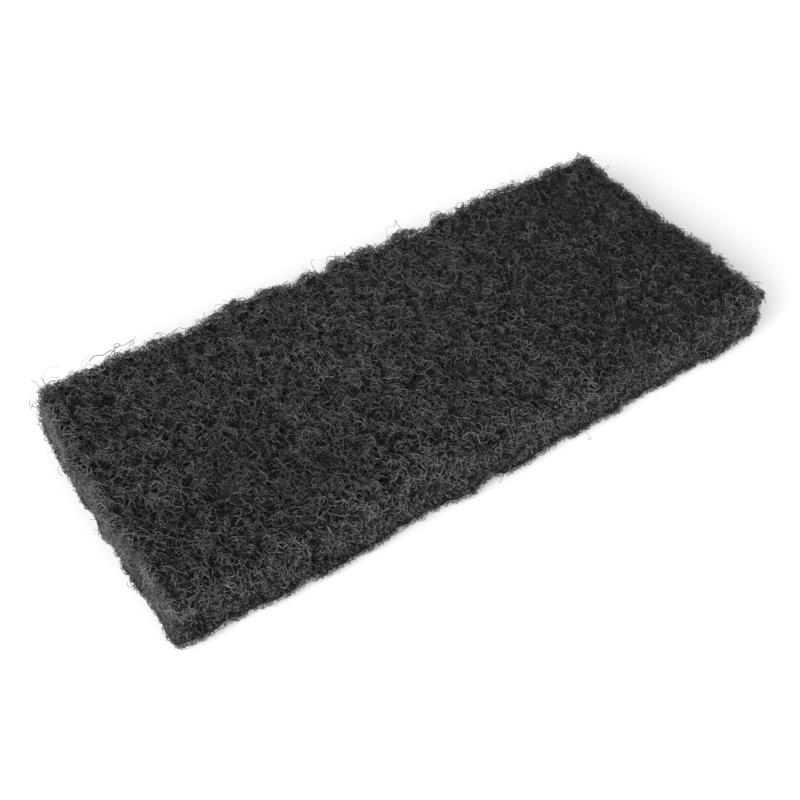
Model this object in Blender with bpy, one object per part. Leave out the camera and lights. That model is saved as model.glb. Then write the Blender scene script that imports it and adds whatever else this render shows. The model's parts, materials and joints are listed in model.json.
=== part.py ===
"""Abrasive hand pad: one thick, open slab of crimped black fibre web, lying flat as it rests.

Units are metres and +Z is up. The origin lies under the middle of the pad, on the surface that
it rests on. +X runs along the pad's length and +Y across its width. The web is one piece: the
slab is cut from a thicker sheet, so its faces are tufted and pitted, and its cut edges are worn
round and ragged. The underside has the same relief as the upper face, pressed flat where its
tufts touch the surface under them.

Run it with: blender --background --python part.py
"""

import math

import bmesh
import bpy
from mathutils import Vector, noise

# Outside sizes of the pad, over the tips of its tufts
PAD_LENGTH = 0.250
PAD_WIDTH = 0.110
PAD_THICKNESS = 0.025

# Radius that the cut edges and corners are worn to, over the tips of the tufts
EDGE_ROUND = 0.006

# Small tufts of matted fibre: how far apart they stand and how deep the web lies between them
TUFT_PITCH = 0.0072
TUFT_DEPTH = 0.0022

# Long gentle swells of the whole surface, left by the web's uneven loft
SWELL_PITCH = 0.034
SWELL_DEPTH = 0.0010

# Hollows where fibre is missing, how deep they go and how much of the web they spare
HOLLOW_PITCH = 0.015
HOLLOW_DEPTH = 0.0040
HOLLOW_ONSET = 0.20

# Share of the relief that the pad's own weight presses flat on the underside
REST_SHARE = 0.60

# Cells of the surface between the worn edges, and steps in the arc of each worn edge
CELLS_ALONG = 56
CELLS_ACROSS = 24
CELLS_UP = 4
EDGE_STEPS = 2

# How far a point of the surface strays sideways, as a share of its shortest edge, and the
# distance over which the strays change
STRAY_SHARE = 0.35
STRAY_PITCH = 0.003

# Offsets that keep the three noise patterns apart from one another
SWELL_OFFSET = Vector((7.3, 1.9, 4.1))
HOLLOW_OFFSET = Vector((2.6, 9.4, 5.7))
STRAY_OFFSET = Vector((3.1, 6.2, 8.5))

# Finish of the resin-coated fibre: near black, dull and not metallic
WEB_COLOUR = (0.036, 0.035, 0.037, 1.0)
WEB_ROUGHNESS = 0.88


def clear_objects():
    """Empty the scene."""
    for item in list(bpy.data.objects):
        bpy.data.objects.remove(item, do_unlink=True)


def cut_stations(half, cells):
    """Places along one axis where the slab is cut into cells, closer together at the worn edges."""
    flat = half - EDGE_ROUND
    places = [flat * (2.0 * i / cells - 1.0) for i in range(cells + 1)]
    for step in range(1, EDGE_STEPS):
        lean = math.tan(math.radians(45.0) * step / EDGE_STEPS)
        places += [flat + EDGE_ROUND * lean, -flat - EDGE_ROUND * lean]
    return sorted(places)


def celled_slab(half):
    """A plain box, centred on the origin, whose faces are cut into cells."""
    bm = bmesh.new()
    bmesh.ops.create_cube(bm, size=2.0)
    bmesh.ops.scale(bm, vec=half, verts=bm.verts)
    for axis, cells in enumerate((CELLS_ALONG, CELLS_ACROSS, CELLS_UP)):
        direction = Vector((0.0, 0.0, 0.0))
        direction[axis] = 1.0
        for place in cut_stations(half[axis], cells):
            bmesh.ops.bisect_plane(
                bm,
                geom=bm.verts[:] + bm.edges[:] + bm.faces[:],
                dist=1e-7,
                plane_co=direction * place,
                plane_no=direction,
            )
    return bm


def round_edges(bm, half):
    """Pull the box's edges and corners in to arcs, and return each point's outward direction."""
    outward = {}
    for vert in bm.verts:
        core = Vector(
            max(-(half[i] - EDGE_ROUND), min(half[i] - EDGE_ROUND, vert.co[i]))
            for i in range(3)
        )
        outward[vert] = (vert.co - core).normalized()
        vert.co = core + outward[vert] * EDGE_ROUND
    return outward


def share(value):
    """A noise value as a share from 0 to 1."""
    return max(0.0, min(1.0, 0.5 + value))


def web_depth(point):
    """How deep the web's surface lies below the tips of its tufts."""
    tuft = TUFT_DEPTH * share(noise.noise(point / TUFT_PITCH))
    swell = SWELL_DEPTH * share(noise.noise(point / SWELL_PITCH + SWELL_OFFSET))
    missing = noise.noise(point / HOLLOW_PITCH + HOLLOW_OFFSET) - HOLLOW_ONSET
    return tuft + swell + HOLLOW_DEPTH * max(0.0, missing)


def stray(vert):
    """A small sideways step that breaks up the rows of cells."""
    reach = STRAY_SHARE * min(edge.calc_length() for edge in vert.link_edges)
    return reach * noise.noise_vector(vert.co / STRAY_PITCH + STRAY_OFFSET)


def raise_web(bm, outward):
    """Sink the surface between its tufts, and press the underside's tufts flat."""
    pressed = REST_SHARE * (TUFT_DEPTH + SWELL_DEPTH)
    moves = {}
    for vert, direction in outward.items():
        depth = web_depth(vert.co)
        step = stray(vert)
        step -= direction * step.dot(direction)
        depth = max(0.0, depth - pressed * max(0.0, -direction.z))
        moves[vert] = step - direction * depth
    for vert, move in moves.items():
        vert.co += move


def set_on_floor(bm):
    """Move the slab so that its lowest tufts touch z = 0 and the origin lies under its middle."""
    low = Vector(min(vert.co[i] for vert in bm.verts) for i in range(3))
    high = Vector(max(vert.co[i] for vert in bm.verts) for i in range(3))
    middle = (low + high) / 2.0
    bmesh.ops.translate(bm, vec=Vector((-middle.x, -middle.y, -low.z)), verts=bm.verts)


def web_material():
    """Dull near-black material of the resin-coated fibre."""
    material = bpy.data.materials.new("nonwoven_web")
    material.use_nodes = True
    shader = material.node_tree.nodes["Principled BSDF"]
    shader.inputs["Base Color"].default_value = WEB_COLOUR
    shader.inputs["Roughness"].default_value = WEB_ROUGHNESS
    shader.inputs["Metallic"].default_value = 0.0
    return material


def build_pad():
    """The whole pad as one closed body."""
    half = Vector((PAD_LENGTH, PAD_WIDTH, PAD_THICKNESS)) / 2.0
    bm = celled_slab(half)
    raise_web(bm, round_edges(bm, half))
    set_on_floor(bm)
    bmesh.ops.triangulate(bm, faces=bm.faces[:], quad_method="SHORT_EDGE")
    bmesh.ops.recalc_face_normals(bm, faces=bm.faces[:])
    mesh = bpy.data.meshes.new("abrasive_pad")
    bm.to_mesh(mesh)
    bm.free()
    mesh.shade_smooth()
    mesh.materials.append(web_material())
    pad = bpy.data.objects.new("abrasive_pad", mesh)
    bpy.context.scene.collection.objects.link(pad)
    return pad


clear_objects()
build_pad()
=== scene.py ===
"""Looks of the abrasive hand pad: a thick slab of crimped black nylon fibre on a white floor.

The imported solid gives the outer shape, over the tips of the tufts. Here that shape is dressed as
the web it stands for: a dark padded body a little way in, and over it thousands of curled fibres
that are laid along its surface, stand up from its cut edges and stray past its outline.

Everything is in metres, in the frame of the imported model: +X along the pad, +Y across it, +Z up.
"""

from __future__ import annotations

import json
import logging
import math
from dataclasses import dataclass, field, replace
from enum import Enum

import bmesh
import bpy
import numpy as np
from mathutils import Matrix, Vector, noise
from mathutils.bvhtree import BVHTree

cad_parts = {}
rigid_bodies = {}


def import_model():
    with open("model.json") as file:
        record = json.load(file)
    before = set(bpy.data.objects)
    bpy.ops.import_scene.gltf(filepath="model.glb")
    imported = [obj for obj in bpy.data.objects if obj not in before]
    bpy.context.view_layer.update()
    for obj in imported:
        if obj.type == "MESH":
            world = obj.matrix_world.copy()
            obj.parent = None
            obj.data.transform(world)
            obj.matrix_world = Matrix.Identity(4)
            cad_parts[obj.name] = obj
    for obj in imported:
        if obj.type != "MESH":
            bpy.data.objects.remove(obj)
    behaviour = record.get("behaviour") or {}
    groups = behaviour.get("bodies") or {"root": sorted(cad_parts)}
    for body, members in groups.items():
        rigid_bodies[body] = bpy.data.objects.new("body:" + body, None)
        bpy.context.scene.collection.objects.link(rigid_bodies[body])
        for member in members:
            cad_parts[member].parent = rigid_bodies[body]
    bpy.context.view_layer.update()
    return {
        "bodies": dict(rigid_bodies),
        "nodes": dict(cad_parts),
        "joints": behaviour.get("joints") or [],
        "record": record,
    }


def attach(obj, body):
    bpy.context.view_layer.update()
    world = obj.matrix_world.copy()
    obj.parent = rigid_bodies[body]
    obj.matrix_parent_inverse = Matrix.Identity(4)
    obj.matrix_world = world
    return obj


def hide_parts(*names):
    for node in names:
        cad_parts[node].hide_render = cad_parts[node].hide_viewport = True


MM = 0.001
NODE = "abrasive_pad"
BODY = "root"
WHOLE = (-1.0, 1.0)
RESIN_IOR = 1.53
SENSOR_WIDTH = 36.0

# Where along the back rim the web is teased out into tangles, and where across the pad tufts
# stand out of its right rim, in mm
TANGLE_HOMES = (
    *(-118.0, -112.0, -107.0, -104.0, -97.0, -91.0, -86.0, -79.0, -74.0, -69.0, -57.0, -52.0),
    *(-47.0, -44.0, -32.0, -28.0, -24.0, -17.0, -14.0, -2.0, 7.0, 12.0, 17.0, 24.0, 28.0, 33.0),
    *(45.0, 49.0, 58.0, 66.0, 72.0, 79.0, 84.0, 92.0, 101.0, 108.0, 119.0, 124.0),
)
TUFT_HOMES = (41.0, 28.0, 8.0, -2.0, -12.0, -19.0, -27.0, -38.0, -48.0, -50.0)

# Where the back rim is, across and up, and the right rim, along and up, in mm
BACK_RIM = (54.0, 21.5)
RIGHT_RIM = (124.0, 20.0)

# How far a fibre's heading strays from the way it sets out
STRAY = 0.6

# Paths of some fibres, their diameters, and the shade at each of their points
Grown = tuple[list[np.ndarray], np.ndarray, list[np.ndarray]]

log = logging.getLogger("abrasive_pad")


def linear(code: str) -> tuple[float, float, float, float]:
    """Turn an sRGB hex colour into linear light.

    Args:
        code: colour as six hex digits after a "#"

    Returns:
        red, green, blue and an alpha of 1
    """
    shares = [int(code[i : i + 2], 16) / 255.0 for i in (1, 3, 5)]
    light = [s / 12.92 if s <= 0.04045 else ((s + 0.055) / 1.055) ** 2.4 for s in shares]
    return (light[0], light[1], light[2], 1.0)


def feed(node: bpy.types.Node, inputs: dict | tuple) -> None:
    """Give a node its inputs.

    Args:
        node: the node
        inputs: a value or an output socket for each input, by name or number, or in their order
    """
    for key, value in inputs.items() if isinstance(inputs, dict) else enumerate(inputs):
        if isinstance(value, bpy.types.NodeSocket):
            node.id_data.links.new(value, node.inputs[key])
        else:
            node.inputs[key].default_value = value


def add_node(
    tree: bpy.types.NodeTree, kind: str, settings: dict | None = None, inputs: dict | tuple = ()
) -> bpy.types.Node:
    """Add a node to a tree, set it up and link it.

    Args:
        tree: node tree that gets the node
        kind: the node's type after "ShaderNode", such as "TexNoise"
        settings: values of the node's own properties, by name
        inputs: what feed gives it

    Returns:
        the new node
    """
    node = tree.nodes.new("ShaderNode" + kind)
    for name, value in (settings or {}).items():
        setattr(node, name, value)
    feed(node, inputs)
    return node


def new_material(
    name: str, kind: str = "BsdfPrincipled"
) -> tuple[bpy.types.Material, bpy.types.NodeTree, bpy.types.Node]:
    """Make a material of one shader.

    Args:
        name: name of the material
        kind: the shader's type after "ShaderNode"

    Returns:
        the material, its node tree and its shader, which still needs its inputs
    """
    material = bpy.data.materials.new(name)
    material.use_nodes = True
    tree = material.node_tree
    tree.nodes.clear()
    shader = add_node(tree, kind)
    add_node(tree, "OutputMaterial", inputs={"Surface": shader.outputs["BSDF"]})
    return material, tree, shader


def mesh_from(bm: bmesh.types.BMesh, name: str) -> bpy.types.Mesh:
    """Turn a bmesh into a mesh, and free it.

    Args:
        bm: the bmesh
        name: name of the mesh

    Returns:
        the mesh
    """
    mesh = bpy.data.meshes.new(name)
    bm.to_mesh(mesh)
    bm.free()
    return mesh


def direction(azimuth: float, elevation: float) -> Vector:
    """Find the direction towards a lamp or a camera.

    Args:
        azimuth: angle round the pad in degrees, where 0 is in front of it
        elevation: angle above the floor in degrees

    Returns:
        the direction, with a length of 1
    """
    turn, rise = math.radians(azimuth), math.radians(elevation)
    return Vector(
        (math.sin(turn) * math.cos(rise), -math.cos(turn) * math.cos(rise), math.sin(rise))
    )


def unit(vectors: np.ndarray) -> np.ndarray:
    """The same directions with a length of 1."""
    return vectors / np.maximum(np.linalg.norm(vectors, axis=-1, keepdims=True), 1e-12)


def turned(vectors: np.ndarray, axes: np.ndarray, angles: np.ndarray) -> np.ndarray:
    """Turn vectors about axes.

    Args:
        vectors: one vector a row
        axes: the axis of each, of length 1
        angles: the angle of each, in radians

    Returns:
        the turned vectors
    """
    cosine, sine = np.cos(angles)[:, None], np.sin(angles)[:, None]
    along = (axes * vectors).sum(1, keepdims=True) * axes
    return vectors * cosine + np.cross(axes, vectors) * sine + along * (1.0 - cosine)


class Side(Enum):
    """The six sides of the pad, as the axis and the sign that a side faces."""

    UPPER = (2, 1)
    UNDER = (2, -1)
    FRONT = (1, -1)
    BACK = (1, 1)
    LEFT = (0, -1)
    RIGHT = (0, 1)


@dataclass(frozen=True)
class FibreFinish:
    """Crimped nylon fibre, dipped in black phenolic resin that holds the grit.

    The resin dries to a satin near-black skin that is uneven along each fibre, so single fibres
    catch a soft grey gleam on their upper side and the next one stays nearly black.
    """

    name: str = "resin_dipped_nylon_fibre"
    dark: str = "#080809"
    light: str = "#79787d"
    roughness: tuple[float, float] = (0.45, 0.7)
    rough_band: tuple[float, float] = (0.3, 0.7)
    specular: float = 0.2
    resin_patch: float = 0.7 * MM
    resin_band: tuple[float, float] = (0.32, 0.68)
    resin_span: tuple[float, float] = (0.4, 1.6)
    worn_patch: float = 20.0 * MM
    worn_gain: float = 0.9
    worn_least: float = 0.55
    grit: float = 0.25 * MM
    grit_height: float = 0.03 * MM
    grit_strength: float = 0.6

    def material(self) -> bpy.types.Material:
        """Build the material, which reads each fibre's own shade.

        Returns:
            the material
        """
        material, tree, shader = new_material(self.name)
        place = add_node(tree, "TexCoord").outputs["Object"]
        shade = add_node(tree, "Attribute", {"attribute_name": "shade"}).outputs["Fac"]
        patches, wear_and_painted_light, grains = (
            add_node(
                tree, "TexNoise", inputs={"Vector": place, "Scale": 1.0 / size, "Detail": detail}
            ).outputs["Fac"]
            for size, detail in ((self.resin_patch, 2.0), (self.worn_patch, 2.0), (self.grit, 1.0))
        )
        # Thick and thin resin from one end of a fibre to the other
        coat = add_node(
            tree, "MapRange", inputs=(patches, *self.resin_band, *self.resin_span)
        ).outputs["Result"]
        # Whole areas of the pad that are greyer, where it is worn
        wear = add_node(
            tree, "Math", {"operation": "MULTIPLY_ADD"}, (wear_and_painted_light, self.worn_gain, self.worn_least)
        ).outputs[0]
        share = add_node(tree, "Math", {"operation": "MULTIPLY"}, (coat, wear)).outputs[0]
        blend = add_node(
            tree, "Math", {"operation": "MULTIPLY", "use_clamp": True}, (share, shade)
        ).outputs[0]
        colour = add_node(
            tree,
            "Mix",
            {"data_type": "RGBA"},
            {"Factor": blend, "A": linear(self.dark), "B": linear(self.light)},
        ).outputs["Result"]
        rough = add_node(
            tree, "MapRange", inputs=(patches, *self.rough_band, *self.roughness)
        ).outputs["Result"]
        bump = add_node(
            tree,
            "Bump",
            inputs={
                "Strength": self.grit_strength,
                "Distance": self.grit_height,
                "Height": grains,
            },
        ).outputs["Normal"]
        feed(
            shader,
            {
                "Base Color": colour,
                "Roughness": rough,
                "IOR": RESIN_IOR,
                "Specular IOR Level": self.specular,
                "Normal": bump,
            },
        )
        return material


@dataclass(frozen=True)
class WebFinish:
    """Nonwoven web seen in its depth, between the outermost fibres.

    Little light gets down there, so its colour is painted shade: near-black pits crossed by dim curls
    of fibre. Where the web is cut, its matted ends make it a speckled grey felt, paler partly as cut
    fibre and partly as painted light.
    """

    name: str = "nonwoven_web_depth"
    # Painted shade of the web's depth
    pit: str = "#020202"
    fibre: str = "#38383b"
    felt: tuple[str, str] = ("#373638", "#7c797c")
    felt_grain: float = 0.7 * MM
    felt_band: tuple[float, float] = (0.35, 0.62)
    felt_height: float = 0.5
    roughness: float = 0.85
    specular: float = 0.04
    curl: float = 1.7 * MM
    curl_detail: float = 0.6
    curl_distortion: float = 0.4
    fibre_share: float = 0.06
    relief: float = 0.4 * MM
    relief_strength: float = 0.9
    layers: int = 4
    layer_shift: tuple[float, float, float] = (0.37, 0.61, 0.23)
    layer_finer: float = 0.22
    layer_dimmer: float = 0.15

    def material(self) -> bpy.types.Material:
        """Build the material: curls are where a smooth noise passes through its middle value.

        Returns:
            the material
        """
        material, tree, shader = new_material(self.name)
        place = add_node(tree, "TexCoord").outputs["Object"]
        lines = 0.0
        for layer in range(self.layers):
            shift = tuple(step * layer for step in self.layer_shift)
            shifted = add_node(
                tree, "Mapping", inputs={"Vector": place, "Location": shift}
            ).outputs["Vector"]
            scale = (1.0 + self.layer_finer * layer) / self.curl
            smooth = add_node(
                tree,
                "TexNoise",
                inputs={
                    "Vector": shifted,
                    "Scale": scale,
                    "Detail": self.curl_detail,
                    "Distortion": self.curl_distortion,
                },
            ).outputs["Fac"]
            off = add_node(tree, "Math", {"operation": "SUBTRACT"}, (smooth, 0.5)).outputs[0]
            away = add_node(tree, "Math", {"operation": "ABSOLUTE"}, (off,)).outputs[0]
            line = add_node(
                tree,
                "MapRange",
                {"interpolation_type": "SMOOTHSTEP"},
                (away, 0.0, self.fibre_share, 1.0 - self.layer_dimmer * layer, 0.0),
            ).outputs["Result"]
            lines = add_node(tree, "Math", {"operation": "MAXIMUM"}, (lines, line)).outputs[0]
        cut = add_node(tree, "Attribute", {"attribute_name": "cut"}).outputs["Fac"]
        grain = add_node(
            tree, "TexNoise", inputs={"Vector": place, "Scale": 1.0 / self.felt_grain, "Detail": 2.0}
        ).outputs["Fac"]
        speck = add_node(tree, "MapRange", inputs=(grain, *self.felt_band)).outputs["Result"]
        web, felt = (
            add_node(
                tree,
                "Mix",
                {"data_type": "RGBA"},
                {"Factor": factor, "A": linear(low), "B": linear(high)},
            ).outputs["Result"]
            for factor, low, high in ((lines, self.pit, self.fibre), (speck, *self.felt))
        )
        colour = add_node(
            tree, "Mix", {"data_type": "RGBA"}, {"Factor": cut, "A": web, "B": felt}
        ).outputs["Result"]
        rise = add_node(
            tree, "Math", {"operation": "MULTIPLY_ADD"}, (grain, self.felt_height, lines)
        ).outputs[0]
        bump = add_node(
            tree,
            "Bump",
            inputs={"Strength": self.relief_strength, "Distance": self.relief, "Height": rise},
        ).outputs["Normal"]
        feed(
            shader,
            {
                "Base Color": colour,
                "Roughness": self.roughness,
                "Specular IOR Level": self.specular,
                "Normal": bump,
            },
        )
        return material


@dataclass(frozen=True)
class LumpFinish:
    """A plain finish that is darker and lighter from place to place."""

    name: str
    dark: str
    light: str
    patch: float
    detail: float
    look: dict[str, float]

    def material(self) -> bpy.types.Material:
        """Build the material.

        Returns:
            the material
        """
        material, tree, shader = new_material(self.name)
        place = add_node(tree, "TexCoord").outputs["Object"]
        patches = add_node(
            tree,
            "TexNoise",
            inputs={"Vector": place, "Scale": 1.0 / self.patch, "Detail": self.detail},
        ).outputs["Fac"]
        colour = add_node(
            tree,
            "Mix",
            {"data_type": "RGBA"},
            {"Factor": patches, "A": linear(self.dark), "B": linear(self.light)},
        ).outputs["Result"]
        feed(shader, {"Base Color": colour, **self.look})
        return material


# Resin that has run together between fibres and cured: smooth dark grey spots without fibre
FILM_FINISH = LumpFinish(
    "cured_resin_film",
    "#101011",
    "#302f32",
    3.0 * MM,
    1.0,
    {"Roughness": 0.6, "IOR": RESIN_IOR, "Specular IOR Level": 0.2},
)
# Broken silicon carbide grain, whose glassy facets give the rare bright speck
GRIT_FINISH = LumpFinish(
    "silicon_carbide_grain",
    "#3a3a3d",
    "#b8b8bb",
    1.0 / 120.0,
    0.0,
    {"Roughness": 0.22, "IOR": 2.2},
)


class Skin:
    """The pad's outer surface, which the fibres are laid along."""

    # Height of the band at the foot of a side that can be given more fibres or fewer
    foot_band: float = 4.0 * MM

    def __init__(self, mesh: bpy.types.Mesh) -> None:
        """Read the surface.

        Args:
            mesh: closed mesh of triangles
        """
        bm = bmesh.new()
        bm.from_mesh(mesh)
        bm.normal_update()
        self.tree = BVHTree.FromBMesh(bm)
        self.points = np.array([vert.co[:] for vert in bm.verts])
        self.normals = np.array([vert.normal[:] for vert in bm.verts])
        self.triangles = np.array([[vert.index for vert in face.verts] for face in bm.faces])
        self.facings = np.array([face.normal[:] for face in bm.faces])
        self.areas = np.array([face.calc_area() for face in bm.faces])
        self.reach = float(np.abs(self.points[:, 0]).max())
        self.side = float(np.abs(self.points[:, 1]).max())
        self.top = float(self.points[:, 2].max())
        bm.free()

    def land(self, places: np.ndarray) -> tuple[np.ndarray, np.ndarray]:
        """Find the nearest places of the surface.

        Args:
            places: points near the surface

        Returns:
            the places on the surface and the smoothed outward directions there
        """
        hits = [self.tree.find_nearest(place) for place in places.tolist()]
        landed = np.array([hit[0][:] for hit in hits])
        rows = self.triangles[[hit[2] for hit in hits]]
        first, second, third = (self.points[rows[:, i]] for i in range(3))
        along, across, out = second - first, third - first, landed - first
        aa, ab, bb = (along * along).sum(1), (along * across).sum(1), (across * across).sum(1)
        pa, pb = (out * along).sum(1), (out * across).sum(1)
        whole = np.maximum(aa * bb - ab * ab, 1e-30)
        u, v = (bb * pa - ab * pb) / whole, (aa * pb - ab * pa) / whole
        shares = np.stack([1.0 - u - v, u, v], axis=1)[:, :, None]
        return landed, unit((self.normals[rows] * shares).sum(1))

    def area(self, side: Side, span: tuple[float, float]) -> float:
        """The area of one side between two places along the pad."""
        return float(self.areas[self._faces(side, span)].sum())

    def pick(self, count: int, rng: np.random.Generator) -> tuple[np.ndarray, np.ndarray]:
        """Pick faces all over the pad, evenly by area.

        Args:
            count: how many faces
            rng: source of chance

        Returns:
            the middle of each and the way it faces
        """
        chosen = rng.choice(len(self.areas), count, p=self.areas / self.areas.sum())
        return self.points[self.triangles[chosen]].mean(1), self.facings[chosen]

    def scatter(
        self,
        side: Side,
        span: tuple[float, float],
        count: int,
        rng: np.random.Generator,
        crowd: float = 0.0,
        foot: float = 0.0,
    ) -> np.ndarray:
        """Pick places on one side, evenly by area or closer together at its top or foot.

        Args:
            side: the side of the pad
            span: least and greatest place along the pad
            count: how many places
            rng: source of chance
            crowd: how many more stand at the top, as a share, or 0 for evenly
            foot: how many more stand at the foot, as a share, which is negative for fewer

        Returns:
            the places
        """
        faces = np.flatnonzero(self._faces(side, span))
        height = self.points[self.triangles[faces]].mean(1)[:, 2]
        weight = self.areas[faces] * (1.0 + foot * np.clip(1.0 - height / self.foot_band, 0.0, 1.0))
        weight *= 1.0 + crowd * np.clip(2.0 * height / self.top - 1.0, 0.0, 1.0)
        chosen = rng.choice(faces, count, p=weight / weight.sum())
        u, v = np.sqrt(rng.random(count)), rng.random(count)
        shares = np.stack([1.0 - u, u * (1.0 - v), u * v], axis=1)[:, :, None]
        return (self.points[self.triangles[chosen]] * shares).sum(1)

    def _faces(self, side: Side, span: tuple[float, float]) -> np.ndarray:
        """Find the faces that look towards a side more than any other.

        Args:
            side: the side of the pad
            span: least and greatest place along the pad

        Returns:
            for each face of the surface, whether it is one
        """
        axis, sign = side.value
        middle = self.points[self.triangles].mean(1)[:, 0]
        main = np.abs(self.facings).argmax(1) == axis
        facing = main & (self.facings[:, axis] * sign > 0.0)
        return facing & (middle >= span[0]) & (middle < span[1])


@dataclass(frozen=True)
class Relief:
    """Small tufts and pits of the web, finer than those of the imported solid."""

    tuft_pitch: float = 3.0 * MM
    tuft_height: float = 0.7 * MM
    pit_pitch: float = 4.2 * MM
    pit_depth: float = 2.7 * MM
    pit_onset: float = 0.12
    pit_offset: tuple[float, float, float] = (4.7, 8.2, 1.3)
    slope: float = 1.6

    def heights(self, places: np.ndarray) -> np.ndarray:
        """How far the web stands above its mean surface, which is negative in a pit.

        Args:
            places: points on the surface

        Returns:
            the height of each
        """
        rows = []
        for place in places.tolist():
            spot = Vector(place)
            tuft = noise.noise(spot / self.tuft_pitch)
            pit = noise.noise(spot / self.pit_pitch + Vector(self.pit_offset))
            depth = self.pit_depth * (1.0 - self.slope * spot.x)
            rows.append(self.tuft_height * tuft - depth * max(0.0, pit - self.pit_onset))
        return np.array(rows)


@dataclass(frozen=True)
class Curl:
    """How one sort of fibre lies along the surface, and how light each part of it is, painted light
    and shade included.
    """

    # Thickness, how tightly and evenly it curls, and its length in steps of a share of its radius
    width: tuple[float, float] = (0.15 * MM, 0.34 * MM)
    radius: float = 1.15 * MM
    radius_spread: float = 0.42
    period: tuple[float, float] = (5.0, 11.0)
    drift: float = 0.25
    points: tuple[int, int] = (6, 11)
    stride: float = 0.75
    stride_limits: tuple[float, float] = (0.75 * MM, 1.5 * MM)
    mean_stride: float = 0.8
    tightness: float = 1.25
    # Height of its middle over the surface, of its arch and its ripples, and depth of its ends
    base: tuple[float, float] = (-0.6 * MM, 0.45 * MM)
    arch: float = 0.4 * MM
    arch_chance: tuple[float, float] = (1.6, 0.6)
    ripple: float = 0.8 * MM
    ripple_share: tuple[float, float] = (0.3, 1.0)
    plunge: float = 1.2 * MM
    # Shade and how alike the fibres are, then painted light and shade: painted shade deeper in the
    # web, lighter by the left and right ends (partly paler cut fibre, partly painted light), a
    # painted highlight along the front rim, painted shade at the foot of a side, and painted light
    # falling off from left to right
    shade: float = 0.32
    evenness: float = 8.0
    painted_depth_shade: float = 0.7
    depth_limits: tuple[float, float] = (0.15, 1.6)
    end_tone: float = 2.3
    end_band: float = 7.5 * MM
    painted_front_rim_light: float = 0.9
    painted_front_rim_band: float = 14.0 * MM
    painted_foot_shade: float = 1.0
    slope: float = 0.3
    # How many more start at the top of a side, and how strongly they are combed which way
    crowd: float = 0.0
    lay: float = 0.0
    lay_angle: float = -0.75


@dataclass(frozen=True)
class Trim:
    """How the cut edges stray from straight lines. Offsets are in mm, outwards, from end to end."""

    back: tuple[float, ...] = (
        *(-3.7, 1.4, -1.6, -0.9, -0.7, 2.2, -1.3, 1.8),
        *(-0.6, -0.8, -0.5, 0.1, -2.4, -2.0, -2.4),
    )
    front: tuple[float, ...] = (
        *(0.7, -0.2, 1.1, 0.5, 0.7, -0.2, 1.2),
        *(0.7, 0.0, 0.9, -0.3, 0.9, 0.4, 1.0, 0.2),
    )
    right: tuple[float, ...] = (-1.7, 0.6, 0.6, 1.7, -3.0, -1.5, -1.4, -0.3, -2.6)
    left: tuple[float, ...] = (-0.4, -0.8, -0.6, 1.4, 0.3, 1.7, 0.4, -0.5, 0.0)
    fade: float = 14.0 * MM
    ragged: float = 1.3 * MM
    ragged_pitch: float = 5.5 * MM
    ragged_fade: float = 0.3

    def shifts(self, places: np.ndarray) -> np.ndarray:
        """How far points of the surface move with the edges.

        Args:
            places: points of the whole surface

        Returns:
            the step of each
        """
        half = np.abs(places).max(0)
        steps = np.zeros_like(places)
        edges = ((1, 1, self.back), (1, -1, self.front), (0, 1, self.right), (0, -1, self.left))
        for axis, sign, offsets in edges:
            along = np.linspace(-half[1 - axis], half[1 - axis], len(offsets))
            offset = np.interp(places[:, 1 - axis], along, offsets) * MM
            near = np.clip((sign * places[:, axis] - half[axis]) / self.fade + 1.0, 0.0, 1.0)
            steps[:, axis] += sign * offset * near * near * (3.0 - 2.0 * near)
        rough = np.array([noise.noise(Vector(p) / self.ragged_pitch) for p in places.tolist()])
        edge = np.clip((np.abs(places) - half) / (self.ragged_fade * self.fade) + 1.0, 0.0, 1.0)
        steps[:, :2] += np.sign(places[:, :2]) * edge[:, :2] * (self.ragged * rough)[:, None]
        return steps


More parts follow.
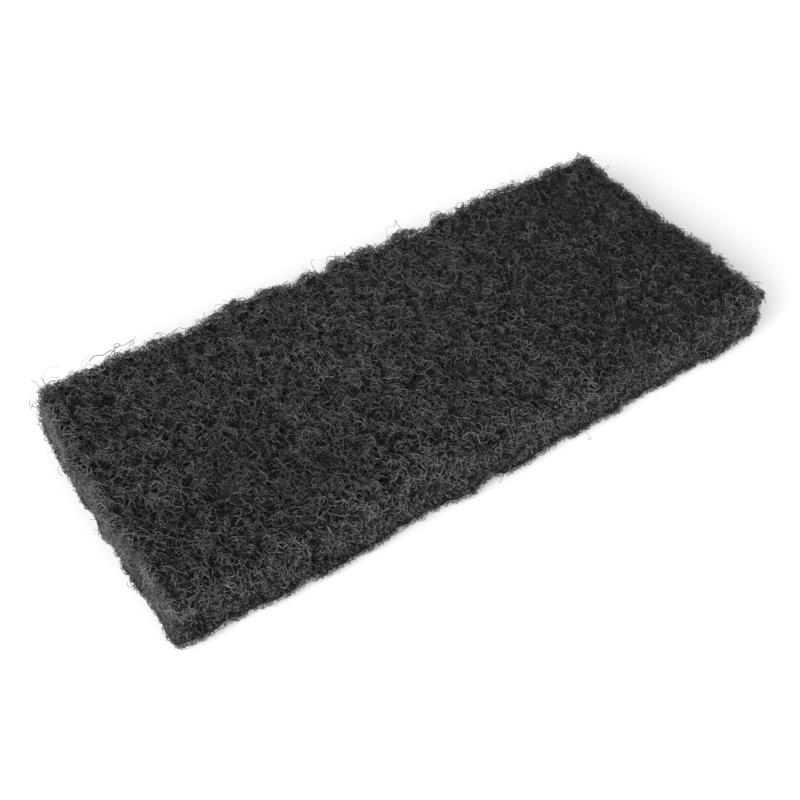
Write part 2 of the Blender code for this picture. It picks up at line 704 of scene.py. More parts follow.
@dataclass
class Strands:
    """A set of fibres as the points they pass through, ready to be made into one mesh."""

    paths: list[np.ndarray] = field(default_factory=list)
    widths: list[float] = field(default_factory=list)
    shades: list[np.ndarray] = field(default_factory=list)
    # Thickness of a tip, as a share, and the corners of a fibre's cross-section
    tip: float = 0.55
    corners: int = 3
    # Margin of a fibre's cell in the colour map, and the share of the cell left of its caps
    margin: float = 0.03
    tube_share: float = 0.95

    def extend(
        self, paths: list[np.ndarray], widths: np.ndarray, shades: list[np.ndarray]
    ) -> None:
        """Add fibres.

        Args:
            paths: the points that each passes through
            widths: their diameters
            shades: the shade at each of their points
        """
        self.paths += paths
        self.widths += widths.tolist()
        self.shades += shades

    def mesh(self, name: str) -> bpy.types.Mesh:
        """Make three-sided tubes with closed ends, which at this thickness look round.

        Args:
            name: name of the mesh

        Returns:
            the mesh, with the fibres' shades as an attribute and a map with a cell for each fibre
        """
        profile = self._profile()
        curve = bpy.data.curves.new(name + "_paths", "CURVE")
        curve.dimensions = "3D"
        curve.bevel_mode = "OBJECT"
        curve.bevel_object = profile
        curve.use_fill_caps = True
        for path, width in zip(self.paths, self.widths, strict=True):
            spline = curve.splines.new("POLY")
            spline.points.add(len(path) - 1)
            spline.points.foreach_set("co", np.column_stack([path, np.ones(len(path))]).ravel())
            ends = np.minimum(np.arange(len(path)), np.arange(len(path))[::-1])
            taper = np.where(ends == 0, self.tip, 1.0) * width / 2.0
            spline.points.foreach_set("radius", taper)
        runner = bpy.data.objects.new(name + "_paths", curve)
        bpy.context.scene.collection.objects.link(runner)
        graph = bpy.context.evaluated_depsgraph_get()
        mesh = bpy.data.meshes.new_from_object(runner.evaluated_get(graph), depsgraph=graph)
        mesh.name = name
        bpy.data.objects.remove(runner)
        bpy.data.objects.remove(profile)
        bpy.data.curves.remove(curve)
        self._mark(mesh)
        self._close(mesh)
        return mesh

    def _profile(self) -> bpy.types.Object:
        """Make the fibres' cross-section, clockwise so that the faces of the tubes point out.

        Returns:
            a three-cornered outline of radius 1
        """
        outline = bpy.data.curves.new("fibre_section", "CURVE")
        outline.dimensions = "2D"
        ring = outline.splines.new("POLY")
        ring.points.add(self.corners - 1)
        ring.use_cyclic_u = True
        for i, point in enumerate(ring.points):
            angle = -2.0 * math.pi * i / self.corners
            point.co = (math.cos(angle), math.sin(angle), 0.0, 1.0)
        section = bpy.data.objects.new("fibre_section", outline)
        bpy.context.scene.collection.objects.link(section)
        return section

    def _mark(self, mesh: bpy.types.Mesh) -> None:
        """Give each point its shade, and each fibre a cell of the colour map.

        The mesh has the caps of the last fibre first, and after all caps the tubes in order.

        Args:
            mesh: the tubes, as the curve gives them
        """
        lengths = np.array([len(path) for path in self.paths])
        fibre = np.concatenate(
            [
                np.repeat(np.arange(len(lengths))[::-1], 2),
                np.repeat(np.arange(len(lengths)), self.corners * (lengths - 1)),
            ]
        )
        ends = [[row[-1]] * self.corners + [row[0]] * self.corners for row in self.shades[::-1]]
        rings = np.repeat(np.concatenate(self.shades), self.corners)
        tones = np.concatenate([np.ravel(ends), rings])
        shade = mesh.attributes.new("shade", "FLOAT", "POINT")
        shade.data.foreach_set("value", tones.astype(np.float32))
        sizes = np.empty(len(mesh.polygons), np.int32)
        mesh.polygons.foreach_get("loop_total", sizes)
        layer = mesh.uv_layers[0]
        layer.name = "OFBake"
        flat = np.empty(2 * len(mesh.loops), np.float32)
        layer.uv.foreach_get("vector", flat)
        places = flat.reshape(-1, 2)
        caps = 2 * self.corners * len(lengths)
        places[:caps] = np.tile([[0.97, 0.2], [0.97, 0.8], [1.0, 0.5]], (2 * len(lengths), 1))
        places[caps:, 0] *= self.tube_share
        side = math.ceil(math.sqrt(len(lengths)))
        owner = np.repeat(fibre, sizes)
        cells = np.stack([owner % side, owner // side], axis=1)
        room = 1.0 - 2.0 * self.margin
        places = (cells + self.margin + room * np.clip(places, 0.0, 1.0)) / side
        layer.uv.foreach_set("vector", places.astype(np.float32).ravel())

    def _close(self, mesh: bpy.types.Mesh) -> None:
        """Weld the ends' caps to their tubes.

        Args:
            mesh: the tubes, which it changes
        """
        bm = bmesh.new()
        bm.from_mesh(mesh)
        bmesh.ops.remove_doubles(bm, verts=bm.verts, dist=1e-7)
        bm.to_mesh(mesh)
        bm.free()
        mesh.shade_smooth()


@dataclass
class Dressing:
    """Something that lies on the pad's surface and is one piece."""

    name: str

    def build(self, skin: Skin, finish: bpy.types.Material) -> bpy.types.Object:
        """Make the piece.

        Args:
            skin: surface that it lies on
            finish: its material

        Returns:
            the new piece
        """
        return finished_piece(self.mesh(skin), finish)

    def mesh(self, skin: Skin) -> bpy.types.Mesh:
        """Make the piece's mesh, each sort of dressing in its own way."""
        raise NotImplementedError


@dataclass
class FibreLayer(Dressing):
    """Curled fibres that lie along one side of the pad."""

    side: Side
    span: tuple[float, float]
    cover: float
    curl: Curl
    seed: int
    relief: Relief = field(default_factory=Relief)
    floor_share: float = 0.25
    foot: float = -0.4

    def mesh(self, skin: Skin) -> bpy.types.Mesh:
        """Lay the fibres, of such a number that they cover the side.

        Args:
            skin: surface that they follow

        Returns:
            their mesh
        """
        rng = np.random.default_rng(self.seed)
        length = (np.mean(self.curl.points) - 1.0) * (self.curl.mean_stride * self.curl.radius)
        count = int(self.cover / MM * skin.area(self.side, self.span) / length)
        starts = skin.scatter(self.side, self.span, count, rng, self.curl.crowd, self.foot)
        strands = Strands()
        strands.extend(*self._walk(skin, starts, rng))
        return strands.mesh(self.name)

    def _walk(self, skin: Skin, starts: np.ndarray, rng: np.random.Generator) -> Grown:
        """Walk every fibre over the surface, turning as it goes.

        Args:
            skin: surface that they follow
            starts: where each fibre starts
            rng: source of chance

        Returns:
            the fibres
        """
        curl, count = self.curl, len(starts)
        radius = curl.radius * np.exp(rng.normal(0.0, curl.radius_spread, count))
        step = np.clip(curl.stride * radius, *curl.stride_limits)
        turn = curl.tightness * step / radius
        drift = rng.normal(0.0, curl.drift, count)
        wave = 2.0 * math.pi / rng.uniform(*curl.period, count)
        phase = rng.uniform(0.0, 2.0 * math.pi, count)
        totals = rng.integers(curl.points[0], curl.points[1] + 1, count)
        width = rng.uniform(*curl.width, count)
        base = rng.uniform(*curl.base, count)
        arch = curl.arch * rng.gamma(*curl.arch_chance, count)
        ripple = rng.uniform(*curl.ripple_share, count) * curl.ripple
        sway = rng.uniform(0.0, 2.0 * math.pi, count)
        own = rng.gamma(curl.evenness, curl.shade / curl.evenness, count)
        lay = np.array([math.cos(curl.lay_angle), math.sin(curl.lay_angle), 0.0])
        place, normal = skin.land(starts)
        heading = unit(np.cross(normal, rng.normal(size=(count, 3))))
        track = np.zeros((count, int(totals.max()), 3))
        shade = np.zeros((count, int(totals.max())))
        for k in range(int(totals.max())):
            share = np.clip(k / (totals - 1.0), 0.0, 1.0)
            height = base + self.relief.heights(place) + arch * np.sin(math.pi * share)
            height += ripple * np.sin(2.0 * wave * k + sway)
            height = np.where((k == 0) | (k >= totals - 1), -curl.plunge, height)
            height = np.minimum(height, self.floor_share * place[:, 2])
            track[:, k] = place + normal * height[:, None]
            # Painted light: lighter by the left and right ends, partly also for paler cut fibre there
            inset = (skin.reach - np.abs(place[:, 0])) / curl.end_band
            wear_and_painted_light = 1.0 + curl.end_tone * np.clip(1.0 - inset, 0.0, 1.0)
            # Painted light falling off from left to right, away from the key lamp at the left
            wear_and_painted_light *= 1.0 - curl.slope * place[:, 0] / skin.reach
            # Painted highlight along the front rim of the upper face
            inset = (skin.side + place[:, 1]) / curl.painted_front_rim_band
            wear_and_painted_light *= 1.0 + curl.painted_front_rim_light * np.clip(1.0 - inset, 0.0, 1.0)
            # Painted shade towards the foot of a side
            rise = np.clip(place[:, 2] / skin.top, 0.0, 1.0)
            wear_and_painted_light *= np.clip(curl.painted_foot_shade + (1.0 - curl.painted_foot_shade) * rise, 0.0, 1.0)
            # Painted shade: parts of a fibre that lie deeper in the web are darker
            lit = np.clip(1.0 + curl.painted_depth_shade * height / MM, *curl.depth_limits)
            shade[:, k] = own * wear_and_painted_light * lit
            angle = turn * np.sin(wave * k + phase) + drift
            heading = turned(heading, normal, angle)
            heading = unit(heading + curl.lay * (heading @ lay)[:, None] * lay)
            place, normal = skin.land(place + heading * step[:, None])
            heading = unit(heading - normal * (heading * normal).sum(1, keepdims=True))
        track[:, :, 2] = np.maximum(track[:, :, 2], width[:, None] / 2.0)
        paths = [track[i, : totals[i]] for i in range(count)]
        return paths, width, [shade[i, : totals[i]] for i in range(count)]


@dataclass
class CutEnds(Dressing):
    """Short ends of fibre that stand out of the pad's cut sides."""

    sides: tuple[Side, ...]
    pitch: float
    seed: int
    width: tuple[float, float] = (0.2 * MM, 0.38 * MM)
    length: tuple[float, float] = (1.3 * MM, 2.6 * MM)
    sunk: float = 0.8 * MM
    bend: float = 0.55
    lean: float = 0.9
    points: int = 4
    shade: float = 0.5
    evenness: float = 6.0
    # Painted shade: each end is darker at its root in the web, and darker towards the foot of a side
    painted_root_shade: float = 0.25
    painted_foot_shade: float = 0.35
    # Below this height the ends are shorter, down to a share of their length
    pressed: float = 6.0 * MM
    pressed_least: float = 0.75
    # How many more stand at the foot of a side
    foot: float = 0.0

    def mesh(self, skin: Skin) -> bpy.types.Mesh:
        """Stand the ends out of the sides.

        Args:
            skin: surface that they stand on

        Returns:
            their mesh
        """
        rng = np.random.default_rng(self.seed)
        strands = Strands()
        for side in self.sides:
            count = int(skin.area(side, WHOLE) / self.pitch**2)
            starts = skin.scatter(side, WHOLE, count, rng, foot=self.foot)
            strands.extend(*self._sprout(skin, starts, rng))
        return strands.mesh(self.name)

    def _sprout(self, skin: Skin, starts: np.ndarray, rng: np.random.Generator) -> Grown:
        """Grow each end outwards on a bent path.

        Args:
            skin: surface that they stand on
            starts: where each end comes out
            rng: source of chance

        Returns:
            the ends
        """
        count = len(starts)
        place, normal = skin.land(starts)
        rise = np.clip(place[:, 2] / skin.top, 0.0, 1.0)
        heading = unit(normal + self.lean * rng.normal(size=(count, 3)) * STRAY)
        axis = unit(np.cross(heading, rng.normal(size=(count, 3))))
        step = rng.uniform(*self.length, count) / (self.points - 1)
        step *= np.clip(place[:, 2] / self.pressed, self.pressed_least, 1.0)
        angle = rng.normal(0.0, self.bend, count)
        width = rng.uniform(*self.width, count)
        place = place - normal * self.sunk
        track = np.zeros((count, self.points, 3))
        for k in range(self.points):
            track[:, k] = place
            place = place + heading * step[:, None]
            heading = turned(heading, axis, angle)
        track[:, :, 2] = np.maximum(track[:, :, 2], width[:, None] / 2.0)
        own = rng.gamma(self.evenness, self.shade / self.evenness, count)
        # Painted shade towards the foot of a side, and along each end towards its root
        own *= self.painted_foot_shade + (1.0 - self.painted_foot_shade) * rise
        shade = own[:, None] * np.linspace(self.painted_root_shade, 1.0, self.points)
        return list(track), width, list(shade)


@dataclass
class StrayFibres(Dressing):
    """Thin loose curls that stand proud of the pad, most of them along its edges."""

    count: int
    seed: int
    width: tuple[float, float] = (0.12 * MM, 0.24 * MM)
    radius: tuple[float, float] = (1.2 * MM, 4.0 * MM)
    points: tuple[int, int] = (7, 14)
    step: float = 0.8 * MM
    # How unevenly each curls: how much, and how fast it changes from step to step
    unevenness: float = 0.6
    swing: float = 0.9
    # How far out and how deep they get
    reach: float = 3.2 * MM
    reach_chance: tuple[float, float] = (2.0, 0.4)
    depth: float = -0.6 * MM
    lift: float = -0.6 * MM
    rise: float = 0.5
    # Where they start: near homes in mm, or else at the edges, whose faces tilt at least so much,
    # with a share of them inland, none near the floor and none on faces that look down more
    homes: tuple[tuple[float, float, float], ...] = ()
    clump_size: float = 1.8 * MM
    edge_tilt: float = 0.35
    inland: float = 0.12
    clear: float = 2.0 * MM
    lowest: float = -0.4
    shade: float = 0.25
    evenness: float = 6.0

    def mesh(self, skin: Skin) -> bpy.types.Mesh:
        """Grow the strays.

        Args:
            skin: surface that they stand on

        Returns:
            their mesh
        """
        rng = np.random.default_rng(self.seed)
        strands = Strands()
        strands.extend(*self._curl_up(skin, self._places(skin, rng), rng))
        return strands.mesh(self.name)

    def _places(self, skin: Skin, rng: np.random.Generator) -> np.ndarray:
        """Pick where the strays start.

        Args:
            skin: surface that they stand on
            rng: source of chance

        Returns:
            the places
        """
        if self.homes:
            spots = np.array(self.homes)[rng.integers(0, len(self.homes), self.count)] * MM
            return spots + rng.normal(0.0, self.clump_size, (self.count, 3))
        middle = skin.points[skin.triangles].mean(1)
        edge = np.sort(np.abs(skin.facings), axis=1)[:, 1] > self.edge_tilt
        weight = skin.areas * np.where(edge, 1.0, self.inland) * (middle[:, 2] > self.clear)
        weight[skin.facings[:, 2] < self.lowest] = 0.0
        return middle[rng.choice(len(weight), self.count, p=weight / weight.sum())]

    def _curl_up(self, skin: Skin, starts: np.ndarray, rng: np.random.Generator) -> Grown:
        """Grow each stray out of the web in a loop of its own plane, held near the surface.

        Args:
            skin: surface that they stand on
            starts: where each stray comes out
            rng: source of chance

        Returns:
            the strays
        """
        count = len(starts)
        place, normal = skin.land(starts)
        heading = unit(self.rise * normal + STRAY * rng.normal(size=(count, 3)))
        axis = unit(np.cross(heading, rng.normal(size=(count, 3))))
        radius = rng.uniform(*self.radius, count)
        angle = np.where(rng.random(count) < 0.5, -1.0, 1.0) * self.step / radius
        totals = rng.integers(self.points[0], self.points[1] + 1, count)
        width = rng.uniform(*self.width, count)
        reach = self.reach * rng.gamma(*self.reach_chance, count)
        place = place + normal * self.lift
        track = np.zeros((count, int(totals.max()), 3))
        for k in range(int(totals.max())):
            track[:, k] = place
            bend = angle * (1.0 + self.unevenness * math.sin(self.swing * k))
            heading = turned(heading, axis, bend)
            place = place + heading * self.step
            below, normal = skin.land(place)
            gap = ((place - below) * normal).sum(1)
            pull = np.clip(gap - reach, 0.0, None) - np.clip(self.depth - gap, 0.0, None)
            place = place - normal * pull[:, None]
        track[:, :, 2] = np.maximum(track[:, :, 2], width[:, None] / 2.0)
        own = rng.gamma(self.evenness, self.shade / self.evenness, count)
        paths = [track[i, : totals[i]] for i in range(count)]
        return paths, width, [np.full(totals[i], own[i]) for i in range(count)]


@dataclass
class LooseStrands(Dressing):
    """Single long strands pulled out of the back rim, in the plane just behind it.

    Each has a diameter and the places, along and up, that it passes through, all in mm.
    """

    name: str = "loose_strands"
    plane: float = 55.0 * MM
    shade: float = 0.4
    rounds: int = 2
    root: float = 2.5 * MM
    wave: float = 0.2 * MM
    wave_turn: float = 0.9
    corner: float = 0.25
    strands: tuple[tuple[float, tuple[tuple[float, float], ...]], ...] = (
        (0.1, ((-117, 20), (-117, 25), (-115.6, 27.4), (-113.5, 28.5), (-111.9, 27.9), (-110, 26.1))),
        (0.22, ((-118, 19), (-119, 21.9), (-119.3, 24), (-120.6, 26.1))),
        (0.24, ((-115, 19), (-116.7, 21), (-116.9, 22.7), (-117.3, 25.4))),
        (0.12, ((-104, 21), (-103.2, 23.2), (-102, 24.6), (-100.4, 25.7), (-98.6, 25.4))),
        (0.3, ((-100.6, 25.4), (-98.3, 25.3), (-96, 23.7), (-93.8, 23.6), (-91.2, 24.0))),
        (0.2, ((-93.8, 23.6), (-91, 23.9), (-88.8, 24.4), (-86.1, 23.9), (-83.9, 24.1), (-82, 25.4))),
        (0.26, ((-91.4, 23.4), (-90.6, 25.6), (-88.9, 26), (-87.8, 24.6), (-89.3, 23.8), (-90, 25))),
        (0.2, ((-86, 22.6), (-84.6, 24.6), (-83.2, 24.4), (-83.2, 22.7), (-84.5, 22.5))),
        (0.16, ((-77.5, 20), (-75.7, 22.6), (-73.5, 22.9), (-71.7, 21.3), (-70, 18.9))),
        (0.14, ((-42, 18), (-44, 21.3), (-45.8, 23.3), (-47.7, 25.3))),
        (0.24, ((-4.4, 21), (-3.3, 23.3), (-1.6, 23.9), (0.6, 22.7), (1.7, 20.3), (0.6, 19))),
        (0.2, ((9.4, 17.5), (9.1, 20.8), (8, 24.2))),
        (0.12, ((23, 20), (24, 23.9), (25.1, 25.9), (27.2, 25.4))),
        (0.22, ((31.7, 20), (29.9, 24.6), (28.9, 27.4), (28.5, 28.1), (28.6, 26), (27.6, 24.8))),
        (0.3, ((45.6, 18), (44.7, 22.6), (46.6, 23.6), (48.8, 23.1), (51.2, 20.9), (50.5, 18.6))),
        (0.3, ((69.9, 21.8), (72, 23.4), (75.3, 22.2), (79.6, 21.2))),
        (0.2, ((78.6, 21), (80.2, 22.3), (81, 23.8), (82, 22), (82, 19))),
        (0.3, ((119.8, 17), (120.9, 23.1), (122.2, 21.1), (124.7, 18.5))),
        (0.24, ((121.5, 17), (124.5, 17.6), (127.4, 17.4), (130.6, 15.9))),
    )

    def mesh(self, skin: Skin) -> bpy.types.Mesh:
        """Run the strands through their places, with their roots in the web.

        Args:
            skin: the pad's surface, which these strands leave behind; not used, as their places are
                given

        Returns:
            their mesh
        """
        strands = Strands()
        for width, places in self.strands:
            path = np.array([(x * MM, self.plane, z * MM) for x, z in places])
            path[0, 1] -= self.root
            for _ in range(self.rounds):
                path = self._rounded(path)
            path[:, 1] += self.wave * np.sin(np.arange(len(path)) * self.wave_turn)
            strands.extend([path], np.array([width * MM]), [np.full(len(path), self.shade)])
        return strands.mesh(self.name)

    def _rounded(self, path: np.ndarray) -> np.ndarray:
        """Cut each of a path's corners off.

        Args:
            path: the points that it passes through

        Returns:
            the points of the rounder path
        """
        first, last = path[:-1], path[1:]
        near, far = self.corner, 1.0 - self.corner
        cut = np.stack([far * first + near * last, near * first + far * last], axis=1)
        return np.vstack([path[:1], cut.reshape(-1, 3), path[-1:]])


@dataclass
class Lumps(Dressing):
    """Small lumps that lie among the outer fibres."""

    count: int
    seed: int
    size: tuple[float, float]
    depth: tuple[float, float]

    def mesh(self, skin: Skin) -> bpy.types.Mesh:
        """Set the lumps on the surface.

        Args:
            skin: surface that they lie on

        Returns:
            their mesh
        """
        rng = np.random.default_rng(self.seed)
        middles, facings = skin.pick(self.count, rng)
        bm = bmesh.new()
        for place, facing, height in zip(middles, facings, self.heights(middles), strict=True):
            size = rng.uniform(*self.size)
            lift = Vector(place + facing * (height + rng.uniform(*self.depth) * MM))
            lift.z = max(lift.z, size)
            matrix = Matrix.Translation(lift) @ self.shape(size, facing, rng)
            bmesh.ops.create_icosphere(bm, subdivisions=1, radius=1.0, matrix=matrix)
        return mesh_from(bm, self.name)

    def heights(self, places: np.ndarray) -> np.ndarray:
        """How far over the surface the lumps are set, before chance."""
        return np.zeros(len(places))

    def shape(self, size: float, facing: np.ndarray, rng: np.random.Generator) -> Matrix:
        """Turn and stretch a ball of radius 1 into a lump, each sort in its own way."""
        raise NotImplementedError


@dataclass
class GritGrains(Lumps):
    """Loose grains of abrasive, blocky and sharp-edged."""

    name: str = "grit_grains"
    count: int = 320
    seed: int = 41
    size: tuple[float, float] = (0.10 * MM, 0.26 * MM)
    depth: tuple[float, float] = (-0.3, 0.25)
    blockiness: tuple[float, float] = (0.6, 1.0)

    def shape(self, size: float, facing: np.ndarray, rng: np.random.Generator) -> Matrix:
        """Turn a grain any way and stretch it.

        Args:
            size: its radius
            facing: the way the surface faces, which grains do not use
            rng: source of chance

        Returns:
            the turn and the stretch
        """
        turn = Matrix.Rotation(rng.uniform(0.0, math.pi), 4, Vector(rng.normal(size=3)))
        return turn @ Matrix.Diagonal((*(size * rng.uniform(*self.blockiness, 3)), 1.0))


@dataclass
class ResinFilms(Lumps):
    """Small flat films of resin that fill the corners between fibres."""

    name: str = "resin_films"
    count: int = 520
    seed: int = 51
    size: tuple[float, float] = (0.35 * MM, 0.95 * MM)
    depth: tuple[float, float] = (-0.7, -0.1)
    tilt: float = 0.45
    breadth: tuple[float, float] = (0.45, 1.0)
    flatness: float = 0.22

    def mesh(self, skin: Skin) -> bpy.types.Mesh:
        """Set the films under the outer fibres, and smooth them.

        Args:
            skin: surface that they lie along

        Returns:
            their mesh
        """
        mesh = super().mesh(skin)
        mesh.shade_smooth()
        return mesh

    def heights(self, places: np.ndarray) -> np.ndarray:
        """The films follow the web's tufts and pits."""
        return Relief().heights(places)

    def shape(self, size: float, facing: np.ndarray, rng: np.random.Generator) -> Matrix:
        """Flatten a film and lay it nearly along the surface.

        Args:
            size: its radius
            facing: the way the surface faces
            rng: source of chance

        Returns:
            the turn and the stretch
        """
        tilt = Vector(facing + self.tilt * rng.normal(size=3)).to_track_quat("Z", "Y")
        spin = Matrix.Rotation(rng.uniform(0.0, 2.0 * math.pi), 4, "Z")
        sides = (size, size * rng.uniform(*self.breadth), size * self.flatness, 1.0)
        return tilt.to_matrix().to_4x4() @ spin @ Matrix.Diagonal(sides)


@dataclass
class WebBody:
    """The padded body of the web, just under its outermost fibres."""

    name: str = "web_body"
    sink: float = 1.4 * MM
    side_sink: float = 1.0 * MM
    end_sink: float = 0.55 * MM
    end_smoothness: float = 0.6
    least_sink: float = 0.2 * MM
    # How far the surface above the flat underside is smoothed
    flat: float = 0.05 * MM
    smoothing: float = 0.5
    # The grey felt of the cut sides, paler partly as cut fibre and partly as painted light, which
    # fades out from this height down to the floor as painted shade
    end_felt: float = 1.0
    end_power: float = 1.3
    side_felt: float = 0.06
    felt_height: float = 20.0 * MM
    felt_rise: tuple[float, float] = (1.25, -0.25)
    relief: Relief = field(default_factory=Relief)
    trim: Trim = field(default_factory=Trim)

    def surface(self, solid: bpy.types.Object) -> bpy.types.Mesh:
        """A finer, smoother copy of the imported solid's surface.

        Args:
            solid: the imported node

        Returns:
            the copy, as closed triangles
        """
        bm = bmesh.new()
        bm.from_mesh(solid.data)
        bmesh.ops.remove_doubles(bm, verts=bm.verts, dist=1e-6)
        bmesh.ops.subdivide_edges(bm, edges=bm.edges[:], cuts=1, use_grid_fill=True)
        above = [vert for vert in bm.verts if vert.co.z > self.flat]
        axes = {"use_axis_" + axis: True for axis in "xyz"}
        bmesh.ops.smooth_vert(bm, verts=above, factor=self.smoothing, **axes)
        bmesh.ops.triangulate(bm, faces=bm.faces[:])
        steps = self.trim.shifts(np.array([vert.co[:] for vert in bm.verts]))
        for vert, step in zip(bm.verts, steps, strict=True):
            vert.co += Vector(step)
        return mesh_from(bm, "pad_surface")

    def build(self, surface: bpy.types.Mesh, finish: bpy.types.Material) -> bpy.types.Object:
        """Sink the surface under the fibres and pit it.

        Args:
            surface: the pad's outer surface
            finish: material of the body

        Returns:
            the new piece
        """
        bm = bmesh.new()
        bm.from_mesh(surface)
        bm.normal_update()
        heights = self.relief.heights(np.array([vert.co[:] for vert in bm.verts]))
        felt = []
        for vert, height in zip(bm.verts, heights.tolist(), strict=True):
            out = vert.normal.copy()
            sink = self.sink + (self.side_sink - self.sink) * out.y**2
            sink += (self.end_sink - self.sink) * out.x**2
            height *= 1.0 - self.end_smoothness * out.x**2
            vert.co -= out * max(self.least_sink, sink - height)
            # Painted shade: the felt fades out towards the floor
            rise = self.felt_rise[0] * vert.co.z / self.felt_height + self.felt_rise[1]
            end = self.end_felt * min(1.0, max(0.0, rise)) * abs(out.x) ** self.end_power
            felt.append(max(end, self.side_felt * out.y**2))
        mesh = mesh_from(bm, self.name)
        cut = mesh.attributes.new("cut", "FLOAT", "POINT")
        cut.data.foreach_set("value", felt)
        mesh.shade_smooth()
        return finished_piece(mesh, finish)


def finished_piece(mesh: bpy.types.Mesh, finish: bpy.types.Material) -> bpy.types.Object:
    """Put a mesh into the scene as a piece of the pad.

    Args:
        mesh: the piece's mesh, in place
        finish: its material

    Returns:
        the new piece
    """
    mesh.materials.clear()
    mesh.materials.append(finish)
    piece = bpy.data.objects.new(mesh.name, mesh)
    bpy.context.scene.collection.objects.link(piece)
    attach(piece, BODY)
    return piece


@dataclass
class AbrasivePad:
    """The whole pad: its body, its fibres, its loose ends and its grains."""

    solid: bpy.types.Object
    fibre: FibreFinish = FibreFinish()
    # Paler fibre for the short sides: partly bare nylon where the resin is cut, partly painted light
    cut_fibre: FibreFinish = FibreFinish(
        "cut_nylon_fibre", dark="#343335", light="#838085", resin_span=(0.65, 1.35)
    )
    web: WebFinish = WebFinish()

    def build(self) -> list[bpy.types.Object]:
        """Build and dress every piece.

        Returns:
            the pieces
        """
        body = WebBody()
        surface = body.surface(self.solid)
        skin = Skin(surface)
        core = body.build(surface, self.web.material())
        bpy.data.meshes.remove(surface)
        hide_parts(NODE)
        fibre, cut = self.fibre.material(), self.cut_fibre.material()
        parts = [(part, fibre) for part in self._upper() + self._sides()]
        parts += [(part, cut) for part in self._ends()]
        parts += [(part, fibre) for part in self._strays()]
        parts += [(ResinFilms(), FILM_FINISH.material()), (GritGrains(), GRIT_FINISH.material())]
        return [core] + [part.build(skin, finish) for part, finish in parts]

    def _upper(self) -> list[Dressing]:
        """Fibres of the upper face, from open curls at the left to finer, straighter ones.

        Returns:
            the upper face, in three parts
        """
        left = Curl(width=(0.14 * MM, 0.3 * MM), shade=0.29, evenness=14.0, lay=0.25)
        middle = Curl(
            width=(0.14 * MM, 0.31 * MM), radius=1.3 * MM, shade=0.34, evenness=6.0,
            painted_depth_shade=0.9, lay=0.15,
        )
        right = Curl(
            width=(0.13 * MM, 0.27 * MM), radius=1.5 * MM, radius_spread=0.38, points=(4, 8),
            base=(-1.0 * MM, 0.5 * MM), ripple=0.8 * MM, shade=0.345, evenness=5.0, painted_depth_shade=1.1,
        )
        finer = Relief(pit_pitch=3.5 * MM, pit_depth=3.3 * MM, pit_onset=0.13)
        finest = Relief(pit_pitch=3.0 * MM, pit_depth=4.2 * MM, pit_onset=0.13)
        seam = 42.0 * MM
        return [
            FibreLayer("upper_fibres_left", Side.UPPER, (-1.0, -seam), 3.1, left, 11),
            FibreLayer("upper_fibres_middle", Side.UPPER, (-seam, seam), 3.1, middle, 12, finer),
            FibreLayer("upper_fibres_right", Side.UPPER, (seam, 1.0), 3.3, right, 13, finest),
        ]

    def _sides(self) -> list[Dressing]:
        """Fibres of the underside and the long sides, darkened with painted shade where they dip into
        the web and at the foot of the sides.

        Returns:
            the underside, the front, the back and the cut ends of both long sides
        """
        low = Curl(base=(-0.7 * MM, -0.35 * MM), arch=0.1 * MM)
        side = Curl(
            width=(0.12 * MM, 0.24 * MM), radius=1.35 * MM, points=(3, 5),
            base=(-0.6 * MM, 0.2 * MM), ripple=0.6 * MM, plunge=0.9 * MM, shade=0.9, evenness=6.0,
            painted_depth_shade=0.8, end_tone=0.2, painted_front_rim_light=0.0, painted_foot_shade=0.15, slope=0.1,
        )
        return [
            FibreLayer("under_fibres", Side.UNDER, WHOLE, 0.2, low, 14),
            FibreLayer("front_fibres", Side.FRONT, WHOLE, 2.4, side, 15),
            FibreLayer("back_fibres", Side.BACK, WHOLE, 1.5, replace(side, crowd=3.0), 16),
            CutEnds(
                "cut_ends_long_sides", (Side.FRONT, Side.BACK), 2.0 * MM, 21,
                length=(1.0 * MM, 2.1 * MM), shade=0.88, painted_foot_shade=1.0, foot=2.5,
            ),
        ]

    def _ends(self) -> list[Dressing]:
        """Matted fibres of the short sides, where the web is cut straight through, paler partly as
        cut nylon and partly as painted light, and darker at the foot with painted shade.

        Returns:
            the left end, the right end and the cut ends of both
        """
        end = Curl(
            width=(0.16 * MM, 0.32 * MM), radius=1.4 * MM, points=(4, 8), base=(-0.6 * MM, 0.0),
            arch=0.2 * MM, plunge=0.9 * MM, shade=0.77, evenness=30.0, painted_depth_shade=0.25,
            end_tone=0.0, painted_front_rim_light=0.0, painted_foot_shade=-0.15, slope=0.0,
        )
        shallow = Relief(tuft_height=0.4 * MM, pit_depth=1.0 * MM)
        return [
            FibreLayer("left_end_fibres", Side.LEFT, WHOLE, 2.1, end, 17, shallow, 0.12),
            FibreLayer("right_end_fibres", Side.RIGHT, WHOLE, 2.3, end, 18, shallow, 0.12),
            CutEnds(
                "cut_ends_short_sides", (Side.LEFT, Side.RIGHT), 1.5 * MM, 22,
                width=(0.16 * MM, 0.3 * MM), length=(0.8 * MM, 1.4 * MM), shade=0.64,
                evenness=20.0, painted_root_shade=0.7, painted_foot_shade=0.0,
            ),
        ]

